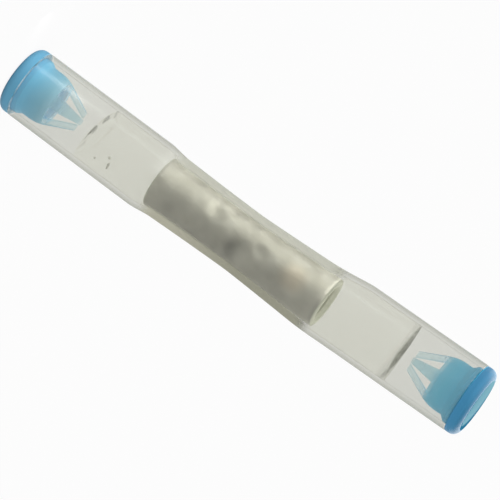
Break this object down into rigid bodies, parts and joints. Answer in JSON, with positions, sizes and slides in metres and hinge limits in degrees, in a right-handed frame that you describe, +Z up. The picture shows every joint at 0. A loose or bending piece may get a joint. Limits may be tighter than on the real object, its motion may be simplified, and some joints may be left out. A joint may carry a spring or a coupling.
{
  "type": "crimp splice connector",
  "caption": "Gel-filled crimp splice: a clear necked sleeve holding a tinned crimp barrel, sealing gel and blue slit end seals that the wires are pushed through.",
  "frame": {"origin": "on the floor under the middle of the connector, which stands on the flange of its thinner tube", "axes": "+Z up, from the thinner tube to the thicker one, -Y towards the viewer, -X the side that the upper tube leans to"},
  "size_m": [0.006, 0.0054, 0.0408],
  "materials": {
    "sleeve": "clear, slightly milky",
    "barrel": "tin plated, satin",
    "seal": "moulded, slightly see-through",
    "gel": "clear soft gel"
  },
  "bodies": {
    "root": {"outer_sleeve": "sleeve", "crimp_barrel": "barrel", "end_seal_lower": "seal", "end_seal_upper": "seal", "sealant_gel": "gel"}
  },
  "joints": []
}
